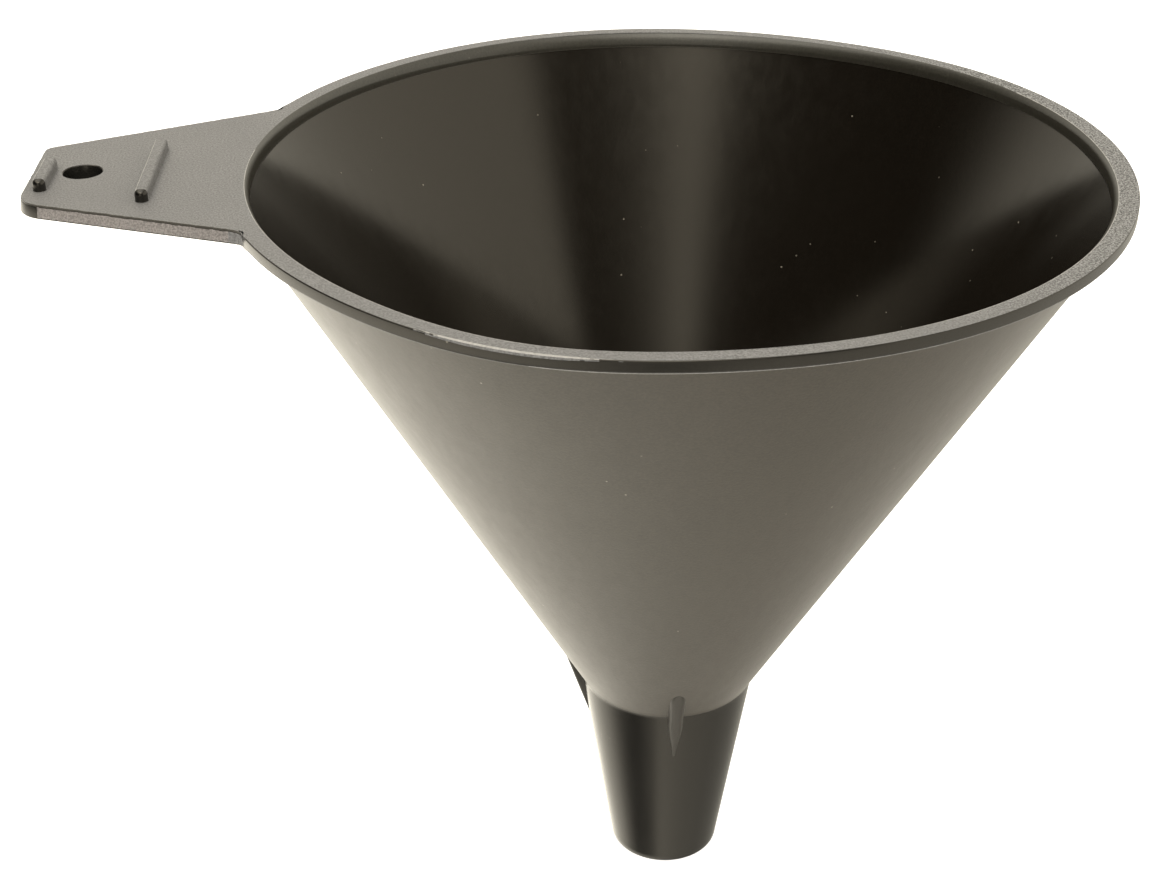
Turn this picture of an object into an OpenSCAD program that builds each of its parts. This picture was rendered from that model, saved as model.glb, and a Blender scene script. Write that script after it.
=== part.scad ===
// One-piece moulded kitchen and workshop funnel with a flat handle.
// The moulding is split into its functional regions, which meet face to face.
// Origin: centre of the spout's outlet. +Z runs up the axis, the handle lies along -X.

/* [Bowl] */
// Diameter of the mouth at the inner edge of the flat rim
mouth_d = 150; // [130:1:170]
// Height from the spout's outlet to the top of the rim
total_h = 150.3; // [140:0.1:170]
// Angle between the bowl's wall and the axis
bowl_angle = 28.8; // [27:0.1:30]
// Outer radius of the bowl where it meets the spout
throat_r = 17.2; // [16:0.1:18]
// Wall thickness, measured square to the wall
wall = 1.2; // [1:0.1:1.5]

/* [Rim] */
// Width of the flat rim outside the mouth's edge
rim_w = 2.8; // [2.4:0.1:4]
// Height of the rim's outer edge
rim_h = 2.2; // [1.6:0.1:2.3]
// Radius of the rounded lip at the mouth
lip_r = 1.2; // [0.9:0.1:1.3]
// Depth of the lip below the top of the rim
lip_depth = 2.7; // [2.5:0.1:3.2]

/* [Spout] */
// Outer radius of the spout at its outlet
outlet_r = 10.9; // [9.5:0.1:12]

/* [Handle] */
// Distance from the axis to the handle's end
handle_end = 111; // [106:1:120]
// From the handle's middle line to its -Y side, at its end, before the corner is rounded
front_half_w = 12.8; // [12:0.1:14]
// The same to its +Y side
back_half_w = 13.5; // [12:0.1:14]
// Widening of the -Y side per millimetre towards the rim
front_taper = 0.39; // [0.38:0.01:0.45]
// Widening of the +Y side per millimetre towards the rim
back_taper = 0.45; // [0.38:0.01:0.47]
// Radius of the corner on the -Y side
front_corner_r = 6; // [4:0.5:8]
// Radius of the corner on the +Y side
back_corner_r = 2.5; // [2:0.5:5]
// Thickness of the handle
handle_t = 2.4; // [2.4:0.1:2.6]
// Radius of the fillets between the handle and the rim
root_r = 5; // [4:0.5:7]
// Distance from the axis to the hanging hole
hole_along = 102.2; // [101:0.1:103]
// Sideways shift of the hanging hole, towards +Y
hole_across = 1; // [-1:0.1:1.5]
// Radius of the hanging hole
hole_r = 3.3; // [2.5:0.1:3.5]

/* [Bars] */
// Height of the raised bars
bar_h = 2; // [1:0.1:3]
// Width of the raised bars
bar_w = 2.3; // [2:0.1:3]
// Distance from the axis to the outer bar
outer_bar_along = 107.9; // [107:0.1:108]
// Length of the outer bar
outer_bar_l = 12.2; // [8:0.1:14]
// Sideways shift of the outer bar, towards -Y
outer_bar_across = 2; // [-2:0.1:2]
// Distance from the axis to the inner bar
inner_bar_along = 90.1; // [85:0.1:94]
// Length of the inner bar
inner_bar_l = 26.4; // [20:0.1:30]
// Sideways shift of the inner bar, towards -Y
inner_bar_across = 1; // [-2:0.1:2]

/* [Ribs] */
// Thickness of the vent ribs
rib_t = 3.2; // [2:0.1:4]
// Reach of each rib above the throat, up the bowl
rib_up = 8.5; // [5:0.1:10]
// Reach of each rib below the throat, down the spout
rib_down = 11; // [6:0.1:14]

/* [Hidden] */
$fn = 180;
plastic = [0.11, 0.11, 0.105];
mouth_r = mouth_d / 2;
rim_r = mouth_r + rim_w;
slope = tan(bowl_angle);                 // radius gained by the bowl per millimetre of height
wall_flat = wall / cos(bowl_angle);      // the bowl's wall measured level
under_rim_r = mouth_r + 0.38;            // the bowl's outer radius where it reaches the rim
throat_z = total_h - rim_h - (under_rim_r - throat_r) / slope;
lip_z = total_h - lip_depth;             // where the bowl ends and the lip begins
land_r = bowl_r(lip_z) - wall_flat;      // inner radius of the bowl's top and of the lip
seam_r = land_r + 0.55;                  // lip to rim joint, at the lip's foot
spout_slope = (throat_r - outlet_r) / throat_z;
spout_wall = wall * sqrt(1 + pow(spout_slope, 2));
// Height at which the inside of the spout turns into the inside of the bowl
inner_turn_z = throat_z + (wall_flat - spout_wall) / (slope - spout_slope);
inner_turn_r = bowl_r(inner_turn_z) - wall_flat;

// Outer radius of the bowl and of the spout at height z
function bowl_r(z) = throat_r + slope * (z - throat_z);
function spout_r(z) = outlet_r + spout_slope * z;

// The handle's two sides, in its own plane with the handle along +X and its -Y side at positive y.
// Each side is its half width at the end, its taper and its corner's radius.
front_side = [front_half_w, front_taper, front_corner_r];
back_side = [back_half_w, back_taper, back_corner_r];
bite = 0.02;                             // arcs cross the edges they meet by this much, to end cleanly
root_reach = rim_r + root_r;
root_touch = rim_r / root_reach;         // where the fillet meets the rim, as a share of its centre
root_inside = 0.9;                       // how far inside the rim the outline starts

// Centre of a side's corner arc
function corner_of(s) = [handle_end - s[2] - bite, s[0] + s[1] * s[2] - s[2] / cos(atan(s[1]))];
// Where the line of a side's fillet centres crosses the axis' plane
function root_line(s) = s[0] + handle_end * s[1] + root_r / cos(atan(s[1]));
function root_x(s) = (root_line(s) * s[1]
                      + sqrt(pow(root_line(s) * s[1], 2)
                             - (1 + pow(s[1], 2)) * (pow(root_line(s), 2) - pow(root_reach, 2))))
                     / (1 + pow(s[1], 2));
// Centre of a side's root fillet
function root_of(s) = [root_x(s), root_line(s) - s[1] * root_x(s)];
function across_side(s) = [sin(atan(s[1])), cos(atan(s[1]))];
// A side's outline from inside the rim to the handle's end, without its arcs
function side_of(s) = [root_of(s) * root_touch * root_inside, root_of(s) * root_touch,
                       root_of(s) - root_r * across_side(s), corner_of(s) + s[2] * across_side(s),
                       [handle_end, corner_of(s)[1]]];

module bowl() {
    color(plastic)
        rotate_extrude()
            polygon([[bowl_r(throat_z), throat_z], [bowl_r(lip_z), lip_z], [land_r, lip_z],
                     [inner_turn_r, inner_turn_z], [spout_r(throat_z) - spout_wall, throat_z]]);
}

module mouth_lip() {
    color(plastic)
        rotate_extrude()
            intersection() {
                union() {
                    translate([land_r + lip_r, total_h - lip_r]) circle(lip_r);
                    polygon([[land_r, lip_z], [seam_r, lip_z], [mouth_r, total_h],
                             [land_r + lip_r, total_h], [land_r + lip_r, total_h - lip_r],
                             [land_r, total_h - lip_r]]);
                }
                polygon([[land_r, lip_z], [seam_r, lip_z], [mouth_r, total_h], [land_r, total_h]]);
            }
}

module rim_flange() {
    color(plastic)
        rotate_extrude()
            polygon([[mouth_r, total_h], [rim_r, total_h], [rim_r, total_h - rim_h],
                     [under_rim_r, total_h - rim_h], [bowl_r(lip_z), lip_z], [seam_r, lip_z]]);
}

module spout() {
    color(plastic)
        rotate_extrude()
            polygon([[outlet_r, 0], [throat_r, throat_z], [spout_r(throat_z) - spout_wall, throat_z],
                     [outlet_r - spout_wall, 0]]);
}

// Puts a shape drawn along +X onto the handle's top face
module on_handle() {
    translate([0, 0, total_h]) rotate([0, 0, 180]) children();
}

// The handle's straight sides and root fillets, with its corners cut off
module handle_outline() {
    back = side_of(back_side);
    count = len(back);
    far = [for (i = [1 : count]) [back[count - i][0], -back[count - i][1]]];
    difference() {
        polygon(concat(side_of(front_side), far));
        translate(root_of(front_side)) circle(root_r + bite);
        translate([root_of(back_side)[0], -root_of(back_side)[1]]) circle(root_r + bite);
    }
}

module handle_plate() {
    below_rim = handle_t - rim_h;
    clear = 1;
    color(plastic)
        on_handle()
            difference() {
                translate([0, 0, -handle_t]) {
                    linear_extrude(handle_t) handle_outline();
                    translate(corner_of(front_side)) cylinder(h = handle_t, r = front_corner_r + bite);
                    translate([corner_of(back_side)[0], -corner_of(back_side)[1]])
                        cylinder(h = handle_t, r = back_corner_r + bite);
                }
                // the rim's outer edge
                translate([0, 0, -rim_h]) cylinder(h = rim_h + clear, r = rim_r);
                // the bowl's wall below the rim
                translate([0, 0, -handle_t])
                    cylinder(h = below_rim, r1 = under_rim_r - slope * below_rim, r2 = under_rim_r);
                translate([hole_along, -hole_across, -handle_t - clear])
                    cylinder(h = handle_t + 2 * clear, r = hole_r);
            }
}

module handle_bar(along, across, length) {
    straight = length - bar_w;
    color(plastic)
        on_handle()
            translate([along, across, 0])
                linear_extrude(bar_h) {
                    square([bar_w, straight], center = true);
                    for (s = [-1, 1]) translate([0, s * straight / 2]) circle(bar_w / 2);
                }
}

// A rib fills the corner between the bowl and the spout, with a straight outer edge
module vent_rib(angle) {
    top_z = throat_z + rib_up;
    bottom_z = throat_z - rib_down;
    color(plastic)
        difference() {
            rotate([0, 0, angle])
                translate([0, rib_t / 2, 0])
                    rotate([90, 0, 0])
                        linear_extrude(rib_t)
                            polygon([[bowl_r(top_z), top_z], [throat_r - wall / 2, throat_z],
                                     [spout_r(bottom_z), bottom_z]]);
            cylinder(h = throat_z, r1 = outlet_r, r2 = throat_r);
            translate([0, 0, throat_z])
                cylinder(h = lip_z - throat_z, r1 = throat_r, r2 = bowl_r(lip_z));
        }
}

bowl();
mouth_lip();
rim_flange();
handle_plate();
handle_bar(outer_bar_along, outer_bar_across, outer_bar_l);  // handle_bar_outer
handle_bar(inner_bar_along, inner_bar_across, inner_bar_l);  // handle_bar_inner
spout();
vent_rib(180);  // vent_rib_handle_side
vent_rib(270);  // vent_rib_front
vent_rib(90);  // vent_rib_back
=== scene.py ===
"""The looks of a moulded plastic funnel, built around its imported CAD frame.

Units are metres. +Z runs up the funnel's axis from the spout's outlet, and the handle lies along -X.
Every visible piece stands for one CAD node, with the rounded edges, mould seams and grain that the
CAD solids leave out.
"""

import math

import bmesh
import bpy
from mathutils import Matrix, Vector, noise


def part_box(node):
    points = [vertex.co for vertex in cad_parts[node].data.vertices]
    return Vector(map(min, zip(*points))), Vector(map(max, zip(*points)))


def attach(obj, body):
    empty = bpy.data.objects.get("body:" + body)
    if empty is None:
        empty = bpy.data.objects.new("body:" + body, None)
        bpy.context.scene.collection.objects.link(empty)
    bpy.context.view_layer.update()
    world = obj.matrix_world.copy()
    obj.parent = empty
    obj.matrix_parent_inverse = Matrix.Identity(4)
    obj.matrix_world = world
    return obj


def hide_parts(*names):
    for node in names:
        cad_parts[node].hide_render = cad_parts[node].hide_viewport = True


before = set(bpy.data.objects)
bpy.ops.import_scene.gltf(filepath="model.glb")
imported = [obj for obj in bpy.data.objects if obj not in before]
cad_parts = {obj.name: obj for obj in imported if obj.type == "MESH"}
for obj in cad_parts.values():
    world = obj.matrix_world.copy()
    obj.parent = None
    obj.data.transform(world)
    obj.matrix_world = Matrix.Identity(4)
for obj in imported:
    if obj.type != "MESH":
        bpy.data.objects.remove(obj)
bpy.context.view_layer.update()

MM = 0.001

# ---------------------------------------------------------------- sizes, from the frame

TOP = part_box("rim_flange")[1].z                 # the rim's top face
RIM_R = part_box("rim_flange")[1].y
MOUTH_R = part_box("mouth_lip")[1].y
LIP_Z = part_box("mouth_lip")[0].z                # where the lip meets the bowl
BOWL_TOP_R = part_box("bowl")[1].y
THROAT_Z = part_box("spout")[1].z
THROAT_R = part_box("spout")[1].y
HANDLE_END = -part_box("handle_plate")[0].x
HANDLE_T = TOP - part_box("handle_plate")[0].z

SLOPE = (BOWL_TOP_R - THROAT_R) / (LIP_Z - THROAT_Z)
BOWL_ANGLE = math.atan(SLOPE)
WALL = 1.2 * MM
WALL_FLAT = WALL / math.cos(BOWL_ANGLE)
LAND_R = BOWL_TOP_R - WALL_FLAT
SEAM_R = LAND_R + 0.55 * MM
RIM_H = 2.2 * MM
UNDER_RIM_R = MOUTH_R + 0.38 * MM
OUTLET_R = 10.9 * MM
SPOUT_SLOPE = (THROAT_R - OUTLET_R) / THROAT_Z
SPOUT_WALL = WALL * math.sqrt(1 + SPOUT_SLOPE**2)

# the handle's two sides: half width at the end, widening towards the rim, and the corner's radius
FRONT_SIDE = (12.8 * MM, 0.39, 6 * MM)           # towards -Y
BACK_SIDE = (13.5 * MM, 0.45, 2.5 * MM)          # towards +Y
ROOT_R = 5 * MM
HOLE_R = 3.3 * MM
HOLE_AT = Vector((-102.2 * MM, 1 * MM))

# what the CAD leaves sharp
EDGE_R = 0.3 * MM
RIM_EDGE_R = 0.22 * MM
SKIRT_R = 0.45 * MM                              # the rim's lower edge
HIGHLIGHT_EDGE_R = 0.5 * MM                                # the rim's larger edge round, at the painted highlight on the front
PAINTED_HIGHLIGHT_AT = -114                                   # degrees
PAINTED_HIGHLIGHT_WIDTH = 9
FOOT_HIGHLIGHT_FROM = -112                            # degrees: a pale line, a painted highlight, runs along the rim's foot here
FOOT_HIGHLIGHT_TO = -35
LIP_WIDE = 1.40 * MM                             # how far the lip slopes inwards, at the front and back
LIP_NARROW = 0.65 * MM                           # and towards the handle and opposite it
LIP_TILT_TOP = 44                                # degrees the slope's surface leans up, top and foot
LIP_TILT_FOOT = 14
LIP_ROUND_STEPS = 5                              # steps of the small round at the lip's top
LIP_HIGHLIGHT_FROM = 172                              # degrees: the round has a painted highlight from here, through -90, to here
LIP_HIGHLIGHT_TO = 24                                 # to here
INNER_BLEND = 0.25 * MM                          # half the height over which the land turns into the cone
THROAT_BLEND = 0.9 * MM                          # and the same where the cone turns into the spout

# the moulding's warp at the rim: where in degrees, how wide in degrees, how much it sags
WARPS = ((-115, 19, 1.05 * MM), (62, 27, 0.5 * MM))
WARP_FROM = 105 * MM

AROUND = 720                                     # steps round the axis
ROOT_STEPS = 14                                  # steps round each fillet at the handle's root
SIDE_STEPS = 60                                  # and along the handle's side
CORNER_STEPS = 14                                # and round its corner
SIDE_LEVEL = 5                                   # the handle's edge between its lower round and its strip
SHARP_ANGLE = math.radians(32)                   # corners sharper than this keep their edge


def outer_r(z):
    """The outside's radius, with the cone turning softly into the spout."""
    above = z - THROAT_Z
    if above > THROAT_BLEND:
        return bowl_r(z)
    if above < -THROAT_BLEND:
        return spout_r(z)
    return spout_r(z) + (SLOPE - SPOUT_SLOPE) * (above + THROAT_BLEND) ** 2 / (4 * THROAT_BLEND)


def warp(a, z):
    """How far the moulding sags, by angle and height: most at the rim, nothing halfway down the bowl."""
    depth = smoothstep(WARP_FROM, LIP_Z, z)
    if depth == 0:
        return 0.0
    drop = 0.0
    for centre, width, sag in WARPS:
        away = math.degrees(math.remainder(a - math.radians(centre), 2 * math.pi))
        drop += sag * math.exp(-((away / width) ** 2))
    return -drop * depth


def bowl_r(z):
    return THROAT_R + SLOPE * (z - THROAT_Z)


def spout_r(z):
    return OUTLET_R + SPOUT_SLOPE * z


# ---------------------------------------------------------------- mesh helpers


def add_piece(name, verts, faces, node, materials, face_slots=None):
    """A mesh piece that stands for one CAD node and rides on the moulding."""
    mesh = bpy.data.meshes.new(name)
    mesh.from_pydata(verts, [], faces)
    for material in materials:
        mesh.materials.append(material)
    for index, polygon in enumerate(mesh.polygons):
        polygon.use_smooth = True
        if face_slots is not None:
            polygon.material_index = face_slots[index]
    mesh.update()
    piece = bpy.data.objects.new(name, mesh)
    bpy.context.scene.collection.objects.link(piece)
    recalculate_normals(mesh)
    mesh.set_sharp_from_angle(angle=SHARP_ANGLE)
    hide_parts(node)
    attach(piece, "root")
    return piece


def recalculate_normals(mesh):
    bm = bmesh.new()
    bm.from_mesh(mesh)
    bmesh.ops.recalc_face_normals(bm, faces=bm.faces)
    bm.to_mesh(mesh)
    bm.free()


def arc(centre_r, centre_z, radius, start, end, steps):
    """Points of an arc in the (r, z) plane, by angle in degrees from +r."""
    points = []
    for i in range(steps + 1):
        a = math.radians(start + (end - start) * i / steps)
        points.append((centre_r + radius * math.cos(a), centre_z + radius * math.sin(a)))
    return points


def line(start, end, steps):
    """Points from start towards end, without the end."""
    return [
        (start[0] + (end[0] - start[0]) * i / steps, start[1] + (end[1] - start[1]) * i / steps)
        for i in range(steps)
    ]


def lathe(section_at, around=AROUND):
    """Vertices and faces of a closed section turned about the axis. section_at gives it by angle."""
    verts = []
    faces = []
    for i in range(around):
        a = 2 * math.pi * i / around
        section = section_at(a)
        count = len(section)
        verts.extend((r * math.cos(a), r * math.sin(a), z + warp(a, z)) for r, z in section)
    for i in range(around):
        here = i * count
        there = (i + 1) % around * count
        for j in range(count):
            k = (j + 1) % count
            faces.append((here + j, there + j, there + k, here + k))
    return verts, faces


def smoothstep(low, high, value):
    t = min(1.0, max(0.0, (value - low) / (high - low)))
    return t * t * (3 - 2 * t)


def ragged(place, size):
    """Deterministic unevenness of a trimmed edge, and of a painted highlight's border, from 0 to size."""
    coarse = noise.noise(Vector((place.x, place.y, 0.0)) * 700)
    fine = noise.noise(Vector((place.x, place.y, 0.01)) * 2300)
    return size * min(1.0, max(0.0, 0.5 + 0.5 * coarse + 0.4 * fine))


# ---------------------------------------------------------------- the handle's outline


def root_centre(half_w, taper):
    """Centre of the fillet between the rim and one side, with the handle along +X and the side at +Y."""
    offset = half_w + HANDLE_END * taper + ROOT_R / math.cos(math.atan(taper))
    reach = RIM_R + ROOT_R
    square = 1 + taper**2
    x = (offset * taper + math.sqrt((offset * taper) ** 2 - square * (offset**2 - reach**2))) / square
    return x, offset - taper * x


def root_angle(side):
    """Angle from the handle's middle line to the place where a side's fillet leaves the rim."""
    x, y = root_centre(side[0], side[1])
    return math.atan2(y, x)


FRONT_ROOT_A = root_angle(FRONT_SIDE)
BACK_ROOT_A = root_angle(BACK_SIDE)


def past_root(a):
    """How far round the rim an angle lies outside the handle's root; negative inside the root."""
    turn = math.remainder(a - math.pi, 2 * math.pi)
    return turn - FRONT_ROOT_A if turn > 0 else -turn - BACK_ROOT_A


def handle_side(half_w, taper, corner_r):
    """One free side of the handle from the rim to the middle of its end, with its normals.

    The handle lies along +X here, and this is the side towards +Y."""
    taper_a = math.atan(taper)
    root_x, root_y = root_centre(half_w, taper)
    corner_x = HANDLE_END - corner_r
    corner_y = half_w + taper * corner_r - corner_r / math.cos(taper_a)
    side = []
    start = math.atan2(root_y, root_x) + math.pi
    end = 1.5 * math.pi - taper_a
    steps = ROOT_STEPS
    for i in range(steps + 1):
        a = start + (end - start) * i / steps
        side.append(((root_x + ROOT_R * math.cos(a), root_y + ROOT_R * math.sin(a)),
                     (-math.cos(a), -math.sin(a))))
    foot = side[-1][0]
    normal = (math.sin(taper_a), math.cos(taper_a))
    corner = (corner_x + corner_r * normal[0], corner_y + corner_r * normal[1])
    steps = SIDE_STEPS
    for i in range(1, steps):
        t = i / steps
        side.append(((foot[0] + (corner[0] - foot[0]) * t, foot[1] + (corner[1] - foot[1]) * t), normal))
    steps = CORNER_STEPS
    for i in range(steps + 1):
        a = (math.pi / 2 - taper_a) * (1 - i / steps)
        side.append(((corner_x + corner_r * math.cos(a), corner_y + corner_r * math.sin(a)),
                     (math.cos(a), math.sin(a))))
    steps = 20
    for i in range(1, steps + 1):
        side.append(((HANDLE_END, corner_y * (1 - i / steps)), (1.0, 0.0)))
    return side


def handle_free_edge():
    """The handle's whole free edge in the frame, from the rim at -Y round the end to the rim at +Y."""
    side = handle_side(*FRONT_SIDE)
    other = handle_side(*BACK_SIDE)
    mirrored = [((x, -y), (nx, -ny)) for (x, y), (nx, ny) in reversed(other[:-1])]
    whole = side + mirrored
    return [(Vector((-x, -y)), Vector((-nx, -ny))) for (x, y), (nx, ny) in whole]


# ---------------------------------------------------------------- materials


class Graph:
    """Short calls for building a node tree."""

    def __init__(self, tree, coords):
        self.tree = tree
        self.coords = coords

    def link(self, out, socket):
        self.tree.links.new(out, socket)

    def noise(self, scale, detail=2.0, roughness=0.5, stretch=None):
        node = self.tree.nodes.new("ShaderNodeTexNoise")
        node.inputs["Scale"].default_value = scale
        node.inputs["Detail"].default_value = detail
        node.inputs["Roughness"].default_value = roughness
        source = self.coords
        if stretch:
            mapping = self.tree.nodes.new("ShaderNodeMapping")
            mapping.inputs["Scale"].default_value = stretch
            self.link(source, mapping.inputs["Vector"])
            source = mapping.outputs["Vector"]
        self.link(source, node.inputs["Vector"])
        return node.outputs["Fac"]

    def cells(self, scale):
        node = self.tree.nodes.new("ShaderNodeTexVoronoi")
        node.inputs["Scale"].default_value = scale
        self.link(self.coords, node.inputs["Vector"])
        return node.outputs["Distance"]

    def ramp(self, value, low, high, out_low, out_high):
        node = self.tree.nodes.new("ShaderNodeMapRange")
        node.inputs["From Min"].default_value = low
        node.inputs["From Max"].default_value = high
        node.inputs["To Min"].default_value = out_low
        node.inputs["To Max"].default_value = out_high
        self.link(value, node.inputs["Value"])
        return node.outputs["Result"]

    def maths(self, operation, a, b=0.0):
        node = self.tree.nodes.new("ShaderNodeMath")
        node.operation = operation
        for socket, value in zip(node.inputs, (a, b)):
            if isinstance(value, (int, float)):
                socket.default_value = value
            else:
                self.link(value, socket)
        return node.outputs["Value"]

    def mix(self, factor, low, high):
        node = self.tree.nodes.new("ShaderNodeMix")
        node.data_type = "RGBA"
        self.link(factor, node.inputs["Factor"])
        for socket, colour in ((node.inputs[6], low), (node.inputs[7], high)):
            if isinstance(colour, tuple):
                socket.default_value = (*colour, 1)
            else:
                self.link(colour, socket)
        return node.outputs[2]

    def bump(self, height, distance, strength):
        node = self.tree.nodes.new("ShaderNodeBump")
        node.inputs["Distance"].default_value = distance
        node.inputs["Strength"].default_value = strength
        self.link(height, node.inputs["Height"])
        return node.outputs["Normal"]


class Surface(Graph):
    """A material's graph, in the object's own coordinates."""

    def __init__(self, name):
        self.material = bpy.data.materials.new(name)
        self.material.use_nodes = True
        tree = self.material.node_tree
        super().__init__(tree, tree.nodes.new("ShaderNodeTexCoord").outputs["Object"])
        self.shader = tree.nodes["Principled BSDF"]


def grained_plastic(name, tint):
    """Spark-eroded grain: pale, coarse and matt. The tint multiplies its colours; a tint above one makes a
    paler copy that paints light.
    """
    n = Surface(name)
    fine_dark = tuple(c * t for c, t in zip((0.088, 0.0865, 0.088), tint))
    fine_pale = tuple(c * t for c, t in zip((0.192, 0.189, 0.192), tint))
    middle = tuple((d + p) / 2 for d, p in zip(fine_dark, fine_pale))
    grain = n.noise(3300, detail=3.0, roughness=0.62)
    pits = n.cells(1900)
    blotches = n.noise(60, detail=3.0)
    height = n.maths("ADD", grain, n.maths("MULTIPLY", pits, 0.6))
    tone = n.ramp(grain, 0.40, 0.60, 0.0, 1.0)
    fine = n.mix(tone, fine_dark, fine_pale)
    fine = n.mix(n.ramp(blotches, 0.3, 0.7, 0.0, 0.35), fine, middle)
    speckle = n.mix(n.ramp(n.noise(3000, detail=2.0, roughness=0.7), 0.46, 0.56, 0.0, 1.0),
                    (0.022, 0.021, 0.020), (0.27, 0.268, 0.270))
    split = n.tree.nodes.new("ShaderNodeSeparateXYZ")
    n.link(n.coords, split.inputs["Vector"])
    # the grain is coarsest on the side away from the handle
    colour = n.mix(n.ramp(split.outputs["X"], 20 * MM, 66 * MM, 0.0, 0.9), fine, speckle)
    n.link(colour, n.shader.inputs["Base Color"])
    n.link(n.ramp(blotches, 0.3, 0.7, 0.50, 0.60), n.shader.inputs["Roughness"])
    n.link(n.bump(height, 0.14 * MM, 0.8), n.shader.inputs["Normal"])
    return n.material


def skirt_plastic():
    """The rim's outer edge: grained like the top beside the handle, and smooth and dark further round."""
    n = Surface("skirt_plastic")
    split = n.tree.nodes.new("ShaderNodeSeparateXYZ")
    n.link(n.coords, split.inputs["Vector"])
    grain = n.noise(2200, detail=3.0, roughness=0.6)
    rough_side = n.ramp(split.outputs["X"], -58 * MM, -72 * MM, 0.0, 1.0)
    pale = n.mix(n.ramp(grain, 0.42, 0.58, 0.0, 1.0), (0.040, 0.038, 0.036), (0.10, 0.095, 0.090))
    dark = n.mix(n.ramp(grain, 0.42, 0.58, 0.0, 1.0), (0.009, 0.0085, 0.0075), (0.017, 0.016, 0.014))
    n.link(n.mix(rough_side, dark, pale), n.shader.inputs["Base Color"])
    n.link(n.ramp(rough_side, 0.0, 1.0, 0.32, 0.55), n.shader.inputs["Roughness"])
    n.link(n.bump(grain, 0.03 * MM, 0.7), n.shader.inputs["Normal"])
    return n.material


def smooth_plastic(name, base, rough, dust=0.5, haze=0.0, skin_depth=0.008 * MM, shine=(1.0, 1.0, 1.0)):
    """Moulded polyethylene: dark, with faint flow variation, fine scuffs and a little dust."""
    n = Surface(name)
    flow = n.noise(28, detail=2.0, stretch=(1.0, 1.0, 0.25))
    skin = n.noise(2200, detail=3.0, roughness=0.6)
    scuffs = n.noise(420, detail=5.0, roughness=0.7, stretch=(1.0, 1.0, 0.10))
    some = n.ramp(n.noise(55), 0.53, 0.57, 0.0, dust)
    speck = n.maths("MULTIPLY", n.ramp(n.cells(260), 0.055, 0.035, 0.0, 1.0), some)
    darker = tuple(c * 0.80 for c in base)
    lighter = tuple(c * 1.20 for c in base)
    mottle = n.maths("ADD", n.maths("MULTIPLY", skin, 0.75), n.maths("MULTIPLY", flow, 0.25))
    colour = n.mix(n.ramp(mottle, 0.38, 0.62, 0.0, 1.0), darker, lighter)
    colour = n.mix(speck, colour, (0.42, 0.39, 0.33))
    n.link(colour, n.shader.inputs["Base Color"])
    at_painted_highlight = n.ramp(scuffs, 0.35, 0.75, rough - 0.02, rough + 0.04)
    n.link(at_painted_highlight, n.shader.inputs["Roughness"])
    n.link(n.bump(n.maths("ADD", skin, n.maths("MULTIPLY", flow, 0.4)), skin_depth, 0.7),
           n.shader.inputs["Normal"])
    n.shader.inputs["Specular Tint"].default_value = (*shine, 1)
    if haze:
        n.shader.inputs["Sheen Weight"].default_value = haze
        n.shader.inputs["Sheen Roughness"].default_value = HAZE_SPREAD
        n.shader.inputs["Sheen Tint"].default_value = (*HAZE_TINT, 1)
    return n.material


HAZE_SPREAD = 0.35
HAZE_TINT = (1.0, 0.97, 0.92)
WARM_SHINE = (1.0, 0.945, 0.86)
GRAINED = grained_plastic("grained_plastic", (1.0, 1.0, 1.0))
# a paler copy of the grain, which paints light on the handle's front side
PAINTED_LIGHT_SIDE = grained_plastic("painted_light_side_plastic", (1.36, 1.26, 1.20))
SKIRT = skirt_plastic()
SATIN = smooth_plastic("satin_plastic", (0.031, 0.0255, 0.018), 0.40, haze=0.25, skin_depth=0.03 * MM)
INSIDE = smooth_plastic("inside_plastic", (0.0078, 0.0063, 0.0047), 0.165, dust=0.5,
                        skin_depth=0.005 * MM, shine=WARM_SHINE)
GLOSS = smooth_plastic("gloss_plastic", (0.0058, 0.0055, 0.0050), 0.20, dust=0.35, shine=WARM_SHINE)
LIP = smooth_plastic("lip_plastic", (0.040, 0.0375, 0.031), 0.32, dust=0.1, skin_depth=0.02 * MM)
RIB = smooth_plastic("rib_plastic", (0.020, 0.017, 0.013), 0.36, dust=0.1, haze=0.12)
# a pale smooth plastic that paints highlights on the rim's front edge and foot, the lip's round and the
# bars' edges
PAINTED_HIGHLIGHT = smooth_plastic("painted_highlight_plastic", (0.33, 0.32, 0.31), 0.42, dust=0.0, skin_depth=0.05 * MM)

# ---------------------------------------------------------------- the pieces


def inner_r(above):
    """The inside's radius this far above the bowl's top, where the land turns softly into the cone."""
    return LAND_R - SLOPE * (INNER_BLEND - above) ** 2 / (4 * INNER_BLEND)


def build_bowl():
    turn_z = THROAT_Z + (WALL_FLAT - SPOUT_WALL) / (SLOPE - SPOUT_SLOPE)
    outside_steps = 60
    soft_steps = 6
    outside = [(outer_r(THROAT_Z + THROAT_BLEND * i / soft_steps), THROAT_Z + THROAT_BLEND * i / soft_steps)
               for i in range(soft_steps)]
    outside += line((bowl_r(THROAT_Z + THROAT_BLEND), THROAT_Z + THROAT_BLEND), (BOWL_TOP_R, LIP_Z),
                    outside_steps)
    top = line((BOWL_TOP_R, LIP_Z), (inner_r(0.0), LIP_Z), 1)
    blend = [(inner_r(-INNER_BLEND * i / 6), LIP_Z - INNER_BLEND * i / 6) for i in range(6)]
    inside = line((inner_r(-INNER_BLEND), LIP_Z - INNER_BLEND),
                  (bowl_r(turn_z) - WALL_FLAT, turn_z), outside_steps)
    foot = [(bowl_r(turn_z) - WALL_FLAT, turn_z), (THROAT_R - SPOUT_WALL, THROAT_Z)]
    section = outside + top + blend + inside + foot
    verts, faces = lathe(lambda a: section)
    # the inside takes the glossy finish, the outside the satin one
    count = len(section)
    slots = [0 if i % count < soft_steps + outside_steps else 1 for i in range(len(faces))]
    return add_piece("bowl_shell", verts, faces, "bowl", [SATIN, INSIDE], slots)


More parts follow.
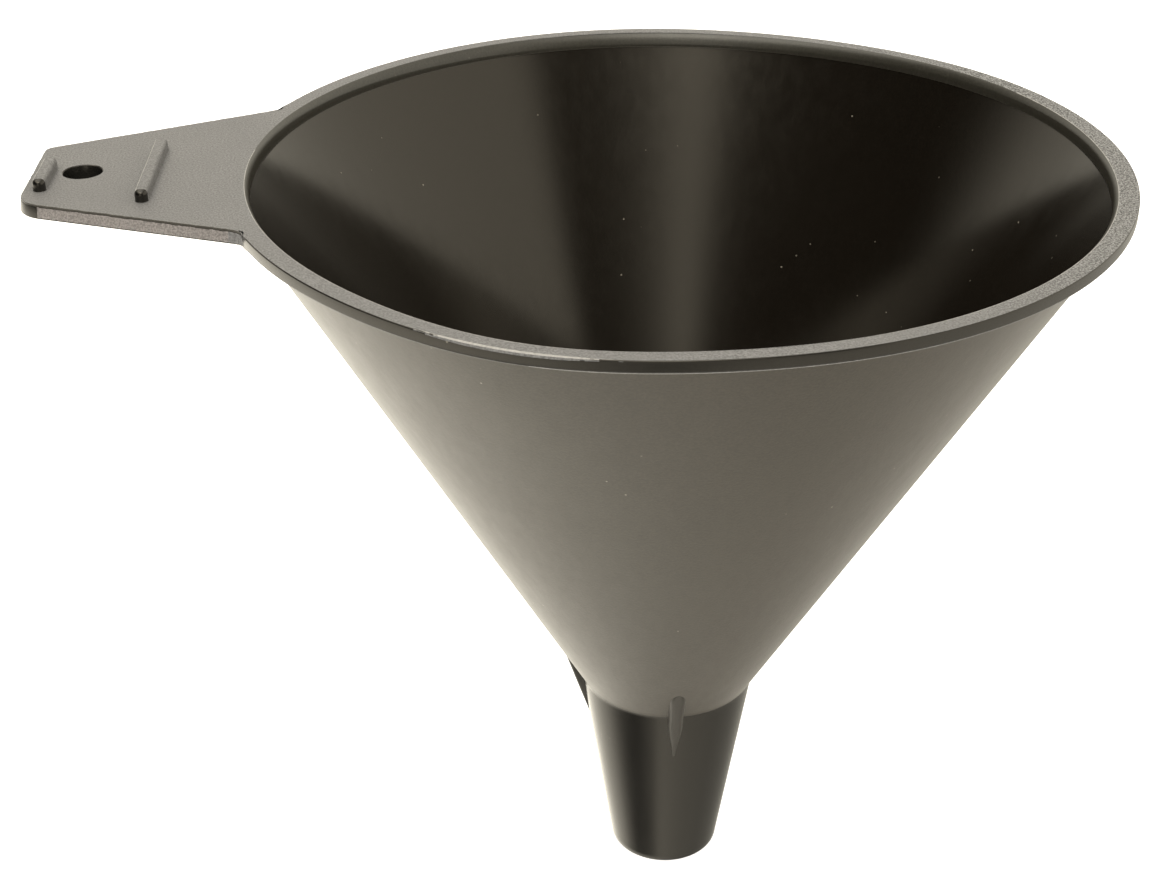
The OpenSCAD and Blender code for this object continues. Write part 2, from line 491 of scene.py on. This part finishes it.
def lip_profile(a):
    """The lip from the flat top to the land at an angle: a small round, then a slope that steepens."""
    wide = LIP_NARROW + (LIP_WIDE - LIP_NARROW) * math.sin(a) ** 2
    slope_steps = 19
    tilts = [90 - (90 - LIP_TILT_TOP) * i / LIP_ROUND_STEPS for i in range(LIP_ROUND_STEPS)]
    tilts += [LIP_TILT_TOP + (LIP_TILT_FOOT - LIP_TILT_TOP) * i / slope_steps for i in range(slope_steps)]
    shares = [0.35] * LIP_ROUND_STEPS + [1.0] * slope_steps
    scale = wide / sum(share * math.sin(math.radians(tilt)) for tilt, share in zip(tilts, shares))
    r = LAND_R + wide
    z = TOP
    points = [(r, z)]
    for tilt, share in zip(tilts, shares):
        r -= scale * share * math.sin(math.radians(tilt))
        z -= scale * share * math.cos(math.radians(tilt))
        points.append((r, z))
    return points


def build_lip():
    blend = [(inner_r(INNER_BLEND * (1 - i / 6)), LIP_Z + INNER_BLEND * (1 - i / 6)) for i in range(7)]

    def section_at(a):
        return [(SEAM_R, LIP_Z), (MOUTH_R, TOP)] + lip_profile(a) + blend

    verts, faces = lathe(section_at)
    count = len(section_at(0))
    slots = []
    flat_faces = 2
    for i in range(len(faces)):
        along = i % count
        degrees = 360 * (i // count) / AROUND
        at_painted_highlight = LIP_HIGHLIGHT_FROM < degrees or degrees < LIP_HIGHLIGHT_TO
        # where the lip has no painted highlight, the grain runs on over the start of its round
        if along < flat_faces or along < flat_faces + 2 and not at_painted_highlight:
            slots.append(0)
        # the round's painted highlight
        elif along < flat_faces + LIP_ROUND_STEPS and at_painted_highlight:
            slots.append(2)
        else:
            slots.append(1)
    return add_piece("mouth_lip_ring", verts, faces, "mouth_lip", [GRAINED, LIP, PAINTED_HIGHLIGHT], slots)


def rim_edge_radius(a):
    """The rim's edge rounding by angle: none along the handle's root, where the top runs through,
    and larger at the painted highlight on the front."""
    from_highlight = math.degrees(math.remainder(a - math.radians(PAINTED_HIGHLIGHT_AT), 2 * math.pi))
    at_painted_highlight = math.exp(-((from_highlight / PAINTED_HIGHLIGHT_WIDTH) ** 4))
    return (RIM_EDGE_R + (HIGHLIGHT_EDGE_R - RIM_EDGE_R) * at_painted_highlight) * smoothstep(-0.01, 0.03, past_root(a))


def build_rim():
    top_steps = 5
    arc_steps = 6
    least_r = 0.001 * MM

    def section_at(a):
        radius = max(rim_edge_radius(a), least_r)
        lower_r = max(SKIRT_R * smoothstep(-0.01, 0.03, past_root(a)), least_r)
        # the first point runs on under the lip, so that no gap can show between the two
        top = [(MOUTH_R - 0.15 * MM, TOP - 0.05 * MM)]
        top += line((MOUTH_R, TOP), (RIM_R - HIGHLIGHT_EDGE_R, TOP), top_steps - 1)
        upper = arc(RIM_R - radius, TOP - radius, radius, 90, 0, arc_steps)
        lower = arc(RIM_R - lower_r, TOP - RIM_H + lower_r, lower_r, 0, -90, arc_steps)
        below = [(UNDER_RIM_R, TOP - RIM_H), (BOWL_TOP_R, LIP_Z), (SEAM_R, LIP_Z)]
        return top + upper + lower + below

    verts, faces = lathe(section_at)
    count = len(section_at(0))
    # the faces of the upper arc start at top_steps, and those of the lower arc past the upright skirt
    upper_end = top_steps + arc_steps
    foot_highlight_at = upper_end + 3
    slots = []
    for i in range(len(faces)):
        along = i % count
        a = 2 * math.pi * (i // count) / AROUND
        from_highlight = math.degrees(math.remainder(a - math.radians(PAINTED_HIGHLIGHT_AT), 2 * math.pi))
        spread = PAINTED_HIGHLIGHT_WIDTH * (0.75 + ragged(Vector((from_highlight * MM, along * MM)), 0.7))
        degrees = math.degrees(math.remainder(a, 2 * math.pi))
        foot_highlight = along == foot_highlight_at and FOOT_HIGHLIGHT_FROM < degrees < FOOT_HIGHLIGHT_TO
        at_painted_highlight = abs(from_highlight) < spread
        # slot 3 paints highlights: a ragged patch on the front edge, and a line along the lower round
        if foot_highlight or (at_painted_highlight and top_steps <= along < top_steps + 3):
            slots.append(3)
        elif along <= top_steps or (at_painted_highlight and along < upper_end):
            slots.append(0)
        elif along <= upper_end:
            slots.append(1)
        else:
            slots.append(2)
    return add_piece("rim_ring", verts, faces, "rim_flange", [GRAINED, GLOSS, SKIRT, PAINTED_HIGHLIGHT],
                     slots)


STRIP_H = 0.26 * MM                              # the glossy strip just under the top face
DRAFT = 0.20 * MM                                # how far the side leans in over the plate's thickness
HOLE_TAPER = 0.45 * MM
WELD = 0.001 * MM                                # points closer than this are one point


def plate_profile(place, from_rim):
    """Inset and height of each loop of the handle's edge, from the bottom to the top.

    from_rim runs from 0 where the root leaves the rim to 1 at the end of the root fillet."""
    steps = 4
    low = TOP - RIM_H - (HANDLE_T - RIM_H) * smoothstep(0.1, 1.0, from_rim)
    profile = [(EDGE_R * 1.3, low)]
    for i in range(steps + 1):
        a = math.pi / 2 * i / steps
        profile.append((EDGE_R * (1 - math.sin(a)), low + EDGE_R * (1 - math.cos(a))))
    strip_foot = TOP - STRIP_H - ragged(place, 0.22 * MM)
    profile.append((DRAFT, strip_foot))
    # the strip is set back a little, as the two mould halves meet there
    profile.append((DRAFT + 0.07 * MM, strip_foot + 0.03 * MM))
    profile.append((DRAFT + 0.07 * MM, TOP - 0.05 * MM))
    profile.append((DRAFT + 0.12 * MM, TOP))
    profile.append((DRAFT + 0.40 * MM, TOP))
    return profile


def hole_profile():
    """Radius and height of each loop of the hanging hole, from the bottom to the top."""
    low = TOP - HANDLE_T
    radius = HOLE_R - HOLE_TAPER
    return [
        (radius + 0.4 * MM, low), (radius + 0.1 * MM, low), (radius, low + 0.1 * MM),
        (HOLE_R, TOP - 0.3 * MM), (HOLE_R + 0.04 * MM, TOP - 0.12 * MM), (HOLE_R + 0.2 * MM, TOP),
        (HOLE_R + 0.5 * MM, TOP),
    ]


def stitch(bm, loops, slot_of):
    for level, (lower, upper) in enumerate(zip(loops, loops[1:])):
        count = len(lower)
        for i in range(count):
            j = (i + 1) % count
            face = bm.faces.new((lower[i], lower[j], upper[j], upper[i]))
            face.material_index = slot_of(level, i)


def fill(bm, rings, slot):
    """Faces between an outer ring and the hole's ring."""
    edges = []
    for ring in rings:
        count = len(ring)
        for i in range(count):
            pair = (ring[i], ring[(i + 1) % count])
            edges.append(bm.edges.get(pair) or bm.edges.new(pair))
    made = bmesh.ops.triangle_fill(bm, use_beauty=True, edges=edges)
    for item in made["geom"]:
        if isinstance(item, bmesh.types.BMFace):
            item.material_index = slot


def build_handle():
    bm = bmesh.new()
    free = handle_free_edge()
    # the arc along the rim closes the outline, and keeps sharp edges there
    arc_steps = 60
    root = []
    for i in range(1, arc_steps):
        a = math.pi - BACK_ROOT_A + (BACK_ROOT_A + FRONT_ROOT_A) * i / arc_steps
        root.append((Vector((RIM_R * math.cos(a), RIM_R * math.sin(a))), Vector((0, 0))))
    outline = free + root
    profiles = []
    for index, (place, normal) in enumerate(outline):
        near_root = min(index, max(0, len(free) - 1 - index))
        profiles.append(plate_profile(place, near_root / ROOT_STEPS))
    loops = []
    for level in range(len(profiles[0])):
        ring = []
        for index, (place, normal) in enumerate(outline):
            inset, z = profiles[index][level]
            # the shaping fades out over the first points of each root fillet
            near_root = min(index, max(0, len(free) - 1 - index))
            fade = smoothstep(0, 6, near_root) if index < len(free) else 0.0
            if level > 2:
                fade *= 1 + ragged(place * 1.7, 0.7)
            xy = place - normal * inset * fade
            ring.append(bm.verts.new((xy.x, xy.y, z)))
        loops.append(ring)
    hole_steps = 96
    hole_loops = []
    for r, z in hole_profile():
        ring = []
        for i in range(hole_steps):
            a = 2 * math.pi * i / hole_steps
            ring.append(bm.verts.new((HOLE_AT.x + r * math.cos(a), HOLE_AT.y + r * math.sin(a), z)))
        hole_loops.append(ring)
    top_level = len(loops) - 2
    corner_start = ROOT_STEPS + SIDE_STEPS
    corner_end = corner_start + CORNER_STEPS - 2

    def edge_slot(level, i):
        """The finish of one face of the edge: a paler copy of the grain on the front side, which paints
        light, and dark gloss round the front corner, which paints shade.
        """
        # the front side's pale copy paints light; round the front corner, dark gloss paints shade
        if level == SIDE_LEVEL and ROOT_STEPS <= i < corner_start:
            return 2
        if level > SIDE_LEVEL and i > len(free) // 2:
            return 0
        if level == top_level or level == SIDE_LEVEL and not corner_start <= i < corner_end:
            return 0
        return 1

    stitch(bm, loops, edge_slot)
    stitch(bm, hole_loops, lambda level, i: 0 if level == len(hole_loops) - 2 else 1)
    fill(bm, (loops[0], hole_loops[0]), 1)
    fill(bm, (loops[-1], hole_loops[-1]), 0)
    # loops run together along the rim, where the edge has no shaping
    bmesh.ops.remove_doubles(bm, verts=bm.verts, dist=WELD)
    mesh = bpy.data.meshes.new("handle_blade")
    bm.to_mesh(mesh)
    bm.free()
    verts = [tuple(v.co) for v in mesh.vertices]
    faces = [tuple(p.vertices) for p in mesh.polygons]
    slots = [p.material_index for p in mesh.polygons]
    bpy.data.meshes.remove(mesh)
    return add_piece("handle_blade", verts, faces, "handle_plate",
                     [GRAINED, GLOSS, PAINTED_LIGHT_SIDE], slots)


BAR_TOP_R = 0.6 * MM
BAR_END_R = 0.98 * MM
BAR_TOP_H = 0.9 * MM                             # the height of the bars' rounded top edge
BAR_ROUND_STEPS = 8
BAR_HIGHLIGHT_LEVELS = (5, 6, 7)                      # the middle of the rounded top edge, where a highlight is painted


def bar_profile(low, high, top_r):
    """Outset and height of each loop of a bar, from its foot to its top."""
    draft = 0.04 * MM
    profile = [(0.0, low), (-0.05 * MM, low + 0.25 * MM)]
    steps = BAR_ROUND_STEPS
    for i in range(steps + 1):
        a = math.pi / 2 * i / steps
        profile.append((-draft - top_r * (1 - math.cos(a)), high - BAR_TOP_H * (1 - math.sin(a))))
    return profile


def build_bar(name, node):
    """A raised bar: round-ended in plan, drafted, with a softened top edge."""
    low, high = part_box(node)
    radius = (high.x - low.x) / 2
    middle = Vector(((low.x + high.x) / 2, (low.y + high.y) / 2))
    straight = (high.y - low.y) / 2 - radius
    outline = []
    end_steps = 24
    for sign in (1, -1):
        for i in range(end_steps + 1):
            a = math.pi * i / end_steps + (0 if sign > 0 else math.pi)
            outline.append((middle + Vector((0, sign * straight)), Vector((math.cos(a), math.sin(a)))))
        for i in range(1, 10):
            # the straight side back to the other end
            y = sign * straight * (1 - 2 * i / 10)
            outline.append((middle + Vector((0, y)), Vector((-sign, 0))))
    profile = bar_profile(low.z, high.z, BAR_TOP_R)
    domed = bar_profile(low.z, high.z, BAR_END_R)
    verts = []
    faces = []
    slots = []
    count = len(outline)
    for (out, z), (end_out, end_z) in zip(profile, domed):
        for centre, normal in outline:
            share = smoothstep(0.0, 0.6, -normal.y)
            xy = centre + normal * (radius + out + (end_out - out) * share)
            verts.append((xy.x, xy.y, z))
    for level in range(len(profile) - 1):
        for i in range(count):
            j = (i + 1) % count
            faces.append((level * count + i, level * count + j,
                          (level + 1) * count + j, (level + 1) * count + i))
            # the end towards -Y is smooth and dark, where the cutter left the mould bright, and the
            # long edge towards the handle's end has a painted highlight
            if outline[i][1].y < -0.25:
                slots.append(1)
            elif outline[i][1].x < -0.9 and level in BAR_HIGHLIGHT_LEVELS:
                slots.append(2)
            else:
                slots.append(0)
    faces.append(tuple(range((len(profile) - 1) * count, len(profile) * count)))
    slots.append(0)
    faces.append(tuple(reversed(range(count))))
    slots.append(1)
    return add_piece(name, verts, faces, node, [GRAINED, GLOSS, PAINTED_HIGHLIGHT], slots)


def build_spout():
    tip_r = 0.35 * MM
    outside = arc(OUTLET_R - tip_r, tip_r, tip_r, -90, 0, 6)
    soft_foot = THROAT_Z - THROAT_BLEND
    outside += line((spout_r(tip_r), tip_r * 1.3), (spout_r(soft_foot), soft_foot), 40)
    outside += [(outer_r(THROAT_Z - THROAT_BLEND * (1 - i / 6)), THROAT_Z - THROAT_BLEND * (1 - i / 6))
                for i in range(6)]
    inside = line((THROAT_R - SPOUT_WALL, THROAT_Z), (OUTLET_R - SPOUT_WALL, tip_r * 1.3), 40)
    inside += arc(OUTLET_R - SPOUT_WALL + tip_r, tip_r, tip_r, 180, 270, 6)
    section = outside + [(outer_r(THROAT_Z), THROAT_Z)] + inside
    verts, faces = lathe(lambda a: section, 360)
    return add_piece("spout_tube", verts, faces, "spout", [GLOSS])


def build_rib(name, node, angle):
    """A vent rib: a soft-edged gusset that grows out of the bowl and the spout."""
    half_w = 1.6 * MM
    top_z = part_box(node)[1].z
    bottom_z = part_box(node)[0].z
    up = 48
    across = 16
    sink = 0.35 * MM
    verts = []
    faces = []

    def skin_r(z):
        return bowl_r(z) if z > THROAT_Z else spout_r(z)

    def half_width(share):
        """Half the rib's width, by share of its height: narrow at the foot and round at the top."""
        foot = 0.25 + 0.75 * smoothstep(0.0, 0.5, share)
        cap = math.sqrt(1 - min(1.0, max(0.0, (share - 0.86) / 0.145)) ** 2)
        return half_w * foot * cap

    for side in (0, 1):
        for i in range(up + 1):
            z = bottom_z + (top_z - bottom_z) * i / up
            crest = spout_r(bottom_z) + (bowl_r(top_z) - spout_r(bottom_z)) * i / up
            for j in range(across + 1):
                t = 2 * j / across - 1
                rise = (1 - abs(t) ** 4) ** 0.7 if abs(t) < 1 else 0.0
                if side == 0:
                    r = skin_r(z) - sink + (crest - skin_r(z) + sink) * rise
                else:
                    r = skin_r(z) - sink * 1.5
                w = half_width(i / up) * t
                verts.append((r * math.cos(angle) - w * math.sin(angle),
                              r * math.sin(angle) + w * math.cos(angle), z))
    row = across + 1
    sheet = (up + 1) * row
    for side in (0, 1):
        for i in range(up):
            for j in range(across):
                a = side * sheet + i * row + j
                faces.append((a, a + 1, a + row + 1, a + row))
    border = [j for j in range(row)]
    border += [i * row + across for i in range(1, up + 1)]
    border += [up * row + j for j in range(across - 1, -1, -1)]
    border += [i * row for i in range(up - 1, 0, -1)]
    for k, a in enumerate(border):
        b = border[(k + 1) % len(border)]
        faces.append((a, b, sheet + b, sheet + a))
    return add_piece(name, verts, faces, node, [RIB])


build_bowl()
build_lip()
build_rim()
build_handle()
build_bar("bar_outer", "handle_bar_outer")
build_bar("bar_inner", "handle_bar_inner")
build_spout()
build_rib("rib_handle_side", "vent_rib_handle_side", math.pi)
build_rib("rib_front", "vent_rib_front", -math.pi / 2)
build_rib("rib_back", "vent_rib_back", math.pi / 2)

# ---------------------------------------------------------------- studio


def build_floor():
    """A white light table: it glows a little, so that it stays pale under the funnel."""
    table = Surface("floor_paper")
    table.shader.inputs["Base Color"].default_value = (0.85, 0.85, 0.85, 1)
    table.shader.inputs["Roughness"].default_value = 0.9
    table.shader.inputs["Specular IOR Level"].default_value = 0.0
    table.shader.inputs["Emission Color"].default_value = (1, 1, 1, 1)
    table.shader.inputs["Emission Strength"].default_value = 0.7
    mesh = bpy.data.meshes.new("floor")
    half = 6.0
    mesh.from_pydata([(-half, -half, 0), (half, -half, 0), (half, half, 0), (-half, half, 0)], [],
                     [(0, 1, 2, 3)])
    mesh.materials.append(table.material)
    floor = bpy.data.objects.new("floor", mesh)
    floor.location.z = -0.1 * MM
    # the plastic mirrors the studio all round it, and not this table
    floor.visible_glossy = False
    bpy.context.scene.collection.objects.link(floor)


# The studio's bright sweep and dark corners: brightness by azimuth in degrees, in four zones of elevation.
RING_ABOVE = ((-180, 0.0), (-140, 0.0), (-127, 0.05), (-120, 0.12), (-114, 0.36), (-108, 0.9),
              (-103, 1.3), (-97, 1.2), (-90, 0.75), (-83, 0.42), (-76, 0.24), (-66, 0.1), (-55, 0.08),
              (-51, 0.3), (-46, 1.05), (-40, 1.3), (0, 1.35), (40, 1.3), (125, 1.05), (140, 0.95),
              (149, 0.6), (157, 0.25), (164, 0.05), (172, 0.0), (180, 0.0))
RING_BELOW = ((-180, 2.15), (-150, 2.0), (-128, 1.6), (-114, 0.9), (-98, 0.38), (-84, 0.8),
              (-71, 1.1), (-40, 1.2), (0, 1.15), (35, 0.8), (60, 0.7), (75, 0.85), (88, 1.8), (97, 2.9),
              (120, 2.5), (150, 2.3), (180, 2.15))
RING_LOW = ((-180, 0.7), (-170, 0.35), (-160, 0.17), (-146, 0.15), (-134, 0.25), (-120, 0.55),
            (-108, 1.15), (-98, 1.3), (-85, 1.2), (-70, 1.05), (-50, 0.85), (-35, 0.75), (-15, 0.55),
            (15, 0.45), (45, 0.45), (62, 0.55), (76, 0.8), (88, 2.0), (97, 2.9), (115, 2.1), (150, 1.6),
            (165, 1.3), (175, 0.87), (180, 0.7))
RING_HIGH = ((-180, 3.2), (-160, 3.4), (-130, 4.0), (-110, 6.5), (-97, 7.5), (-84, 6.0), (-70, 3.0),
             (-45, 1.0), (-20, 0.6), (10, 0.6), (40, 0.9), (80, 1.6), (120, 2.4), (180, 3.2))
OVERHEAD = (2.66, 2.6, 2.46)
UNDERNEATH = 0.98
UNDERNEATH_TILT = -1.6                            # how much brighter it is underneath, per step towards +X
WARM = (1.06, 1.0, 0.85)
# the elevations in degrees over which one zone of the studio fades into the next
UNDER_TO_LOW = (-72, -58)
LOW_TO_BELOW = (-46, -32)
BELOW_TO_ABOVE = (-22, -4)
ABOVE_TO_HIGH = (42, 52)
HIGH_TO_OVERHEAD = (60, 74)


def light_ring(graph, azimuth, stops):
    node = graph.tree.nodes.new("ShaderNodeValToRGB")
    ramp = node.color_ramp
    ramp.interpolation = "LINEAR"
    while len(ramp.elements) < len(stops):
        ramp.elements.new(0.5)
    for element, (degrees, value) in zip(ramp.elements, stops):
        element.position = degrees / 360 + 0.5
        element.color = (value, value, value, 1)
    graph.link(azimuth, node.inputs["Fac"])
    return node.outputs["Color"]


def build_world():
    """Soft studio light from a sweep that is bright behind and to the right, with an overhead softbox."""
    world = bpy.data.worlds.new("studio")
    bpy.context.scene.world = world
    world.use_nodes = True
    tree = world.node_tree
    graph = Graph(tree, tree.nodes.new("ShaderNodeTexCoord").outputs["Generated"])
    split = tree.nodes.new("ShaderNodeSeparateXYZ")
    graph.link(graph.coords, split.inputs["Vector"])
    x, y, z = split.outputs
    turn = graph.maths("ARCTAN2", y, x)
    azimuth = graph.maths("ADD", graph.maths("DIVIDE", turn, 2 * math.pi), 0.5)
    elevation = graph.maths("MULTIPLY", graph.maths("ARCSINE", z), 180 / math.pi)
    above = light_ring(graph, azimuth, RING_ABOVE)
    below = light_ring(graph, azimuth, RING_BELOW)
    low = light_ring(graph, azimuth, RING_LOW)
    high = light_ring(graph, azimuth, RING_HIGH)
    under = graph.maths("ADD", graph.maths("MULTIPLY", x, UNDERNEATH_TILT), UNDERNEATH)
    light = graph.mix(graph.ramp(elevation, *UNDER_TO_LOW, 0, 1), under, low)
    light = graph.mix(graph.ramp(elevation, *LOW_TO_BELOW, 0, 1), light, below)
    light = graph.mix(graph.ramp(elevation, *BELOW_TO_ABOVE, 0, 1), light, above)
    light = graph.mix(graph.ramp(elevation, *ABOVE_TO_HIGH, 0, 1), light, high)
    tint = tree.nodes.new("ShaderNodeMix")
    tint.data_type = "RGBA"
    tint.blend_type = "MULTIPLY"
    tint.inputs["Factor"].default_value = 1.0
    graph.link(light, tint.inputs[6])
    tint.inputs[7].default_value = (*WARM, 1)
    light = graph.mix(graph.ramp(elevation, *HIGH_TO_OVERHEAD, 0, 1), tint.outputs[2], OVERHEAD)
    background = tree.nodes["Background"]
    graph.link(light, background.inputs["Color"])
    # the room itself looks plain white
    plain = tree.nodes.new("ShaderNodeBackground")
    seen = tree.nodes.new("ShaderNodeLightPath")
    choose = tree.nodes.new("ShaderNodeMixShader")
    graph.link(seen.outputs["Is Camera Ray"], choose.inputs["Fac"])
    graph.link(background.outputs["Background"], choose.inputs[1])
    plain.inputs["Color"].default_value = (1, 1, 1, 1)
    graph.link(plain.outputs["Background"], choose.inputs[2])
    graph.link(choose.outputs["Shader"], tree.nodes["World Output"].inputs["Surface"])


# the photograph's viewpoint
CAMERA_AT = Vector((-34.5, -302.6, 263.7)) * MM
CAMERA_AIM = Vector((-16.6, 1.0, 94.3)) * MM
CAMERA_ROLL = math.radians(0.34)
SENSOR_WIDTH = 36                                # in millimetres, as the lens is
LENS = 57.03


def build_camera():
    data = bpy.data.cameras.new("camera")
    data.sensor_width = SENSOR_WIDTH
    data.lens = LENS
    data.clip_start = 0.01
    camera = bpy.data.objects.new("camera", data)
    look = (CAMERA_AIM - CAMERA_AT).to_track_quat("-Z", "Y").to_matrix().to_4x4()
    camera.matrix_world = Matrix.Translation(CAMERA_AT) @ look @ Matrix.Rotation(-CAMERA_ROLL, 4, "Z")
    bpy.context.scene.collection.objects.link(camera)
    bpy.context.scene.camera = camera


build_floor()
build_world()
build_camera()
bpy.context.scene.view_settings.view_transform = "Standard"
